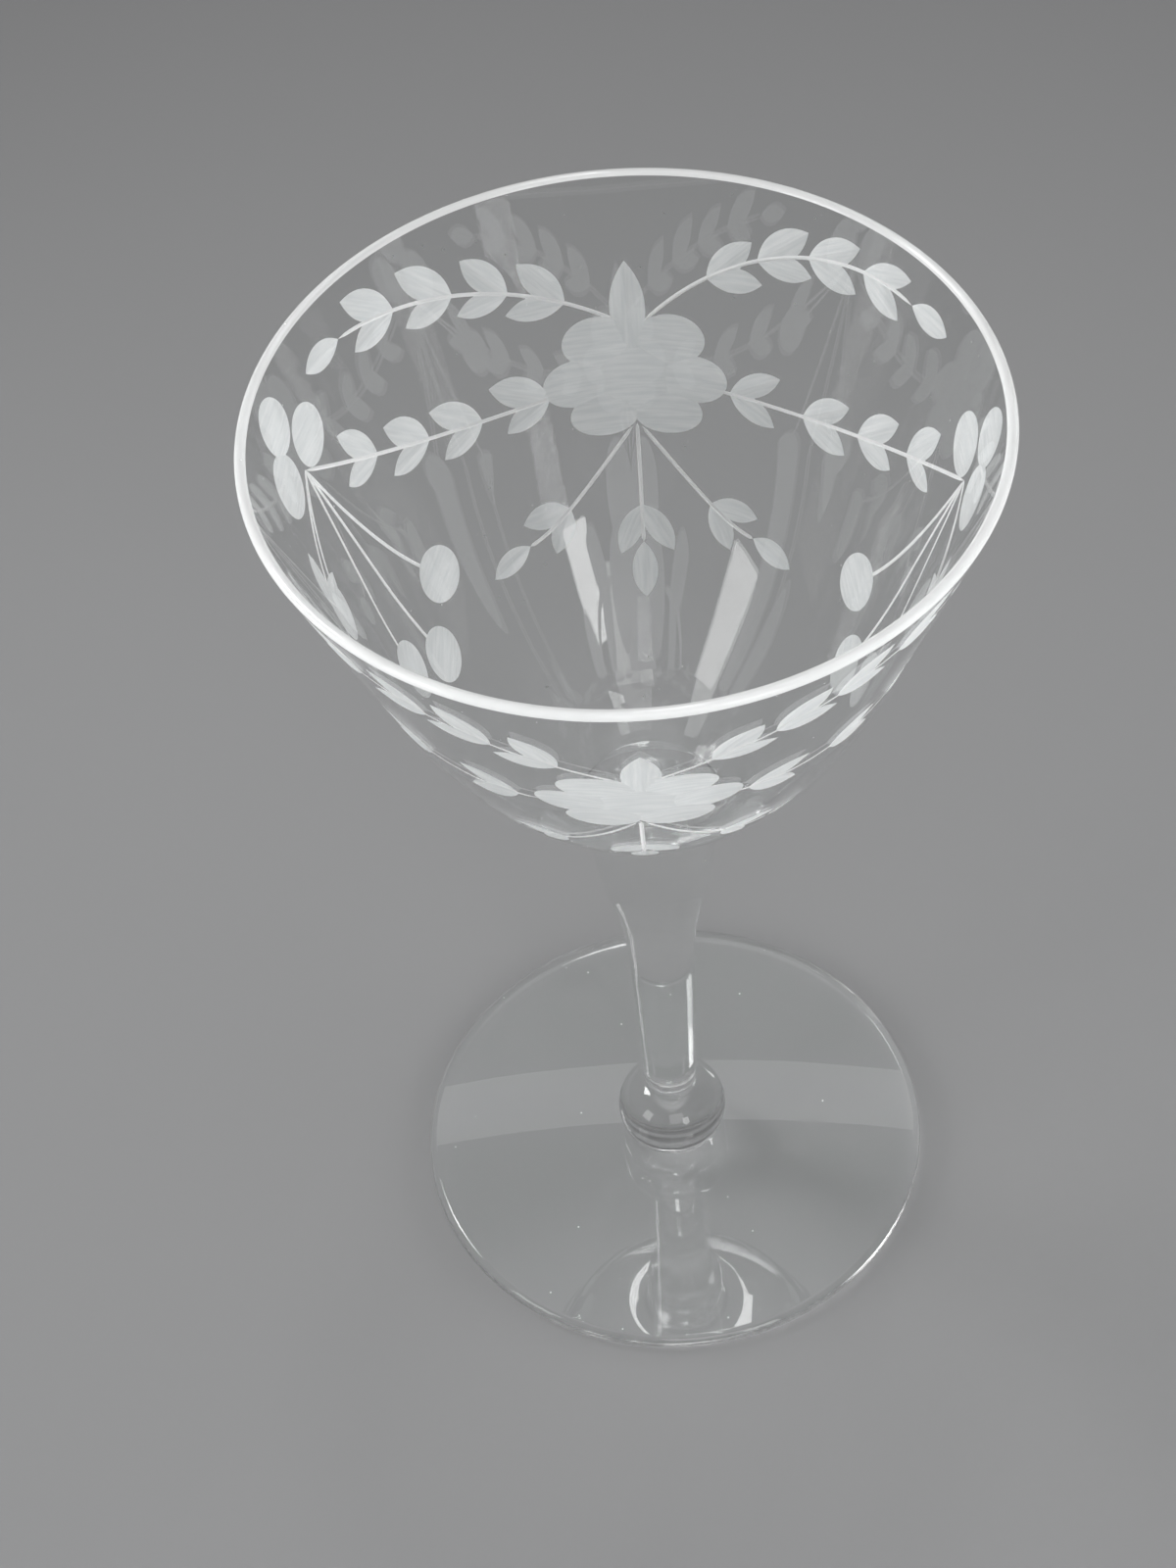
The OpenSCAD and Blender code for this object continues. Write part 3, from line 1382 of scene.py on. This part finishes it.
@dataclass
class Stem:
    """The drawn stem: thin at the knop, swelling on two tangent arcs to a short collar under the bowl.

    Attributes:
        seats: where the pieces meet.
        collar: height of the collar.
        swell: height of the round part below it.
        hollow: height of the hollow part below that.
        slender: diameter where the hollow part ends.
    """

    seats: Seats
    collar: float = 3.0
    swell: float = 12.7
    hollow: float = 16.0
    slender: float = 7.6

    def build(self, finishes: Finishes) -> bpy.types.Object:
        """Turns the stem.

        Its two arcs turn by one angle, so that they meet without a corner. The tangent of half that angle
        is the change of radius over their height.

        Args:
            finishes: the glass materials.

        Returns:
            The piece.
        """
        low, top = self.seats.knop, self.seats.stem
        wide, thin, waist = self.seats.shoulder / 2, self.slender / 2, self.seats.waist / 2
        lean = 2 * math.atan((wide - thin) / (self.swell + self.hollow))
        swell_round, hollow_round = self.swell / math.sin(lean), self.hollow / math.sin(lean)
        collar = top - self.collar
        hollow = collar - self.swell - self.hollow
        turn = math.degrees(lean)
        side = np.array([hollow - low, waist - thin])
        side /= np.linalg.norm(side)
        skin = Skin()
        skin.turn(Run.line((0, low), (waist, low), (0, -1), 3, Dress.FUSED))
        skin.turn(Run.line((waist, low), (thin, hollow), tuple(side), 10))
        skin.turn(Run.arc((thin + hollow_round, hollow), hollow_round, 180, 180 - turn, 16, hollow=True))
        skin.turn(Run.arc((wide - swell_round, collar), swell_round, -turn, 0, 14))
        skin.turn(Run.line((wide, collar), (wide, top), (1, 0), 3))
        skin.turn(Run.line((wide, top), (0, top), (0, 1), 4, Dress.FUSED))
        return finishes.dress(skin.mesh("drawn_stem"), "stem", Slot.CLEAR)


@dataclass
class Knop:
    """The pressed ball between the stem and the foot.

    Attributes:
        seats: where the pieces meet.
        across: greatest diameter.
        rounding: radius of its side.
    """

    seats: Seats
    across: float = 13.5
    rounding: float = 5.3

    def build(self, finishes: Finishes) -> bpy.types.Object:
        """Turns the knop. Its side is one arc, from the foot's seat round to the stem's.

        Args:
            finishes: the glass materials.

        Returns:
            The piece.
        """
        low, top = self.seats.foot, self.seats.knop
        seat, waist = self.seats.base / 2, self.seats.waist / 2
        centre = self.across / 2 - self.rounding
        middle = low + math.sqrt(self.rounding**2 - (seat - centre) ** 2)
        start = -math.degrees(math.acos((seat - centre) / self.rounding))
        end = math.degrees(math.acos((waist - centre) / self.rounding))
        skin = Skin()
        skin.turn(Run.line((0, low), (seat, low), (0, -1), 3, Dress.FUSED))
        skin.turn(Run.arc((centre, middle), self.rounding, start, end, 36))
        skin.turn(Run.line((waist, top), (0, top), (0, 1), 3, Dress.FUSED))
        return finishes.dress(skin.mesh("ball_knop"), "knop", Slot.CLEAR)


@dataclass
class Foot:
    """The round foot: a low dome that runs into a rolled edge, with a resting ring and a hollow under it.

    Attributes:
        seats: where the pieces meet.
        across: diameter.
        edge: thickness at the edge.
        crown: height of the dome on the axis.
        ring: width of the resting ring.
        kick: height of the hollow on the axis.
    """

    seats: Seats
    across: float = 63.0
    edge: float = 2.2
    crown: float = 3.7
    ring: float = 2.0
    kick: float = 0.2

    def build(self, finishes: Finishes) -> bpy.types.Object:
        """Turns the foot. The dome's arc has its centre on the axis and is tangent to the edge's round.

        Args:
            finishes: the glass materials.

        Returns:
            The piece.
        """
        roll = self.edge / 2
        rest = self.across / 2 - roll
        inside = rest - self.ring
        hollow = (inside**2 + self.kick**2) / (2 * self.kick)
        seat = self.seats.base / 2
        dome = (rest**2 + (self.crown - roll) ** 2 - roll**2) / (2 * (self.crown - self.edge))
        middle = self.crown - dome
        top = middle + math.sqrt(dome**2 - seat**2)
        meet = math.degrees(math.atan2(roll - middle, rest))
        skin = Skin()
        reach = math.degrees(math.acos(inside / hollow))
        skin.turn(Run.arc((0, self.kick - hollow), hollow, 90, reach, 20, hollow=True))
        skin.turn(Run.line((inside, 0), (rest, 0), (0, -1), 3))
        skin.turn(Run.arc((rest, roll), roll, -90, meet, 20))
        skin.turn(Run.arc((0, middle), dome, meet, math.degrees(math.acos(seat / dome)), 24))
        skin.turn(Run.line((seat, top), (0, top), (0, 1), 3, Dress.FUSED))
        return finishes.dress(skin.mesh("round_foot"), "foot", Slot.CLEAR)


@dataclass(frozen=True)
class Lamp:
    """A soft rectangle of light that faces the glass.

    Attributes:
        name: the lamp's name.
        place: its middle in metres.
        size: its width and height in metres.
        power: in watts.
        reach: whether it lights matt surfaces, shows in polished ones or both.
        aim: height of the point on the axis that it faces, in metres.
    """

    name: str
    place: Triple
    size: Pair
    power: float
    reach: Reach = Reach.BOTH
    aim: float = 0.07

    def hang(self) -> None:
        """Adds the lamp. Its axes are right, up and back, as a camera in its place would have them."""
        light = bpy.data.lights.new(self.name, "AREA")
        light.shape = "RECTANGLE"
        light.size, light.size_y = self.size
        light.energy = self.power
        back = np.array(self.place) - np.array([0.0, 0.0, self.aim])
        back /= np.linalg.norm(back)
        right = np.cross([0.0, 0.0, 1.0], back)
        right /= np.linalg.norm(right)
        axes = np.eye(4)
        axes[:3] = np.stack([right, np.cross(back, right), back, self.place], axis=1)
        made = bpy.data.objects.new(self.name, light)
        made.matrix_world = Matrix(axes.tolist())
        made.visible_diffuse = self.reach is not Reach.GLINT
        made.visible_glossy = self.reach is not Reach.MATT
        made.visible_transmission = self.reach is Reach.BOTH
        bpy.context.scene.collection.objects.link(made)


@dataclass
class Studio:
    """The floor, the light and the camera.

    The wide lamps at the sides and the low one in front light the matt cuts. The other three in front show
    in the bottom of the bowl. The key and the top lamp give the stem and the foot their bright edges, and
    the bar shows as a band across the foot.

    Attributes:
        floor_half: half the floor's width in metres.
        floor_cells: cells along a side of the floor.
        floor_gap: how far it lies below the foot, in metres.
        lamps: the lamps, in the order in which they are hung.
        dim: the world's light at the horizon and overhead.
        climb: sines of the elevations between which that changes.
        shown: how bright the world shows in the picture and in the glass, around and overhead.
        ceiling: sines of the elevations between which that changes.
        tone: colour of the world.
        lens: focal length in millimetres on a 36 mm long side.
        target: height of the point on the axis that the camera goes round, in millimetres.
        distance: from that point, in millimetres.
        elevation: degrees above the horizon.
        turn: degrees round the axis from the -Y side.
        aim: yaw, pitch and roll off that point, in degrees.
        bounces: how often light may bend and bounce in the glass.
        passes: how often it may pass a see-through face.
    """

    floor_half: float = 6.0
    floor_cells: int = 8
    floor_gap: float = 0.00005
    lamps: tuple[Lamp, ...] = (
        Lamp("side_left", (-1.1, 0.05, 0.32), (1.6, 0.6), 13.5, Reach.MATT),
        Lamp("side_right", (1.1, 0.05, 0.32), (1.6, 0.6), 13.5, Reach.MATT),
        Lamp("low_front", (0.1, -1.0, 0.2), (0.8, 0.3), 4.5, Reach.MATT),
        Lamp("front", (0.18, -0.98, 0.75), (0.6, 0.6), 2.0),
        Lamp("front_left", (-0.92, -0.62, 0.53), (0.35, 0.5), 2.0),
        Lamp("front_right", (0.56, -0.97, 0.51), (0.25, 0.4), 1.5),
        Lamp("key", (-0.64, 0.3, 0.85), (0.25, 0.25), 3.2),
        Lamp("top", (0.03, 0.34, 1.2), (0.11, 0.2), 1.2),
        Lamp("bar", (0.0, 0.749, 1.062), (1.2, 0.109), 0.45, Reach.GLINT),
    )
    dim: Pair = (0.13, 0.1)
    climb: Pair = (0.0, 0.75)
    shown: Pair = (0.14, 1.0)
    ceiling: Pair = (0.86, 0.95)
    tone: Colour = (0.987, 0.99, 1.0, 1.0)
    lens: float = 69.684
    target: float = 70.0
    distance: float = 337.909
    elevation: float = 50.7006
    turn: float = 3.0
    aim: Triple = (1.15995, -0.20411, -4.06562)
    bounces: int = 64
    passes: int = 24

    def floor(self) -> bpy.types.Object:
        """A flat grid just under the foot."""
        axis = spread(-self.floor_half, self.floor_half, self.floor_cells)
        x, y = np.meshgrid(axis, axis)
        points = np.stack([x, y, np.full_like(x, -self.floor_gap)], axis=-1).reshape(-1, 3)
        cell, row = np.arange(self.floor_cells), self.floor_cells + 1
        corner = (cell[:, None] * row + cell).ravel()
        faces = np.stack([corner, corner + 1, corner + row + 1, corner + row], axis=1)
        mesh = bpy.data.meshes.new("floor")
        mesh.from_pydata(points.tolist(), [], faces.tolist())
        mesh.materials.append(GreyPaper().material())
        made = bpy.data.objects.new("floor", mesh)
        bpy.context.scene.collection.objects.link(made)
        return made

    def light(self) -> None:
        """A dim grey world that shows as an even background under a white ceiling, and the lamps."""
        world = bpy.data.worlds.new("studio")
        bpy.context.scene.world = world
        world.use_nodes = True
        graph = Graph(world.node_tree)
        way = graph.node("ShaderNodeTexCoord", output="Generated")
        high = graph.node("ShaderNodeSeparateXYZ", None, {"Vector": way}, "Z")
        dim = self.dim[0] + high.smooth(*self.climb) * (self.dim[1] - self.dim[0])
        shown = self.shown[0] + high.smooth(*self.ceiling) * (self.shown[1] - self.shown[0])
        strength = dim + graph.seen() * (shown - dim)
        sky = graph.node("ShaderNodeBackground", None, {"Color": self.tone, "Strength": strength})
        graph.node("ShaderNodeOutputWorld", None, {"Surface": sky})
        for lamp in self.lamps:
            lamp.hang()

    def camera(self) -> None:
        """The camera's axes are the orbit's right, up and back, turned by yaw, pitch and roll."""
        rise = math.radians(self.elevation)
        away = np.array([0.0, -math.cos(rise), math.sin(rise)])
        ahead = -away
        right = np.cross(ahead, [0.0, 0.0, 1.0])
        right /= np.linalg.norm(right)
        axes = np.stack([right, -np.cross(right, ahead), ahead])
        for angle, axis in zip(self.aim, "YXZ"):
            axes = np.array(Matrix.Rotation(math.radians(angle), 3, axis)) @ axes
        pose = np.eye(4)
        pose[:3, 0], pose[:3, 1], pose[:3, 2] = axes[0], -axes[1], -axes[2]
        pose[:3, 3] = (away * self.distance + np.array([0.0, 0.0, self.target])) * MM
        lens = bpy.data.cameras.new("camera")
        lens.lens = self.lens
        lens.sensor_width = 36.0
        lens.sensor_fit = "AUTO"
        lens.clip_start = 0.01
        made = bpy.data.objects.new("camera", lens)
        made.matrix_world = Matrix.Rotation(math.radians(self.turn), 4, "Z") @ Matrix(pose.tolist())
        bpy.context.scene.collection.objects.link(made)
        bpy.context.scene.camera = made

    def build(self) -> None:
        """Sets up the floor, the light, the camera and the view."""
        self.floor()
        self.light()
        self.camera()
        scene = bpy.context.scene
        scene.view_settings.view_transform = "Standard"
        scene.cycles.max_bounces = self.bounces
        scene.cycles.transmission_bounces = self.bounces
        scene.cycles.glossy_bounces = self.bounces
        scene.cycles.transparent_max_bounces = self.passes


def main() -> None:
    """Builds the studio and the four pieces."""
    logging.basicConfig(level=logging.INFO, format="%(message)s")
    Studio().build()
    finishes = Finishes.make()
    seats = Seats()
    for part in (Bowl(seats), Stem(seats), Knop(seats), Foot(seats)):
        piece = part.build(finishes)
        log.info("%s: %d faces", piece.name, len(piece.data.polygons))


if __name__ == "__main__":
    main()
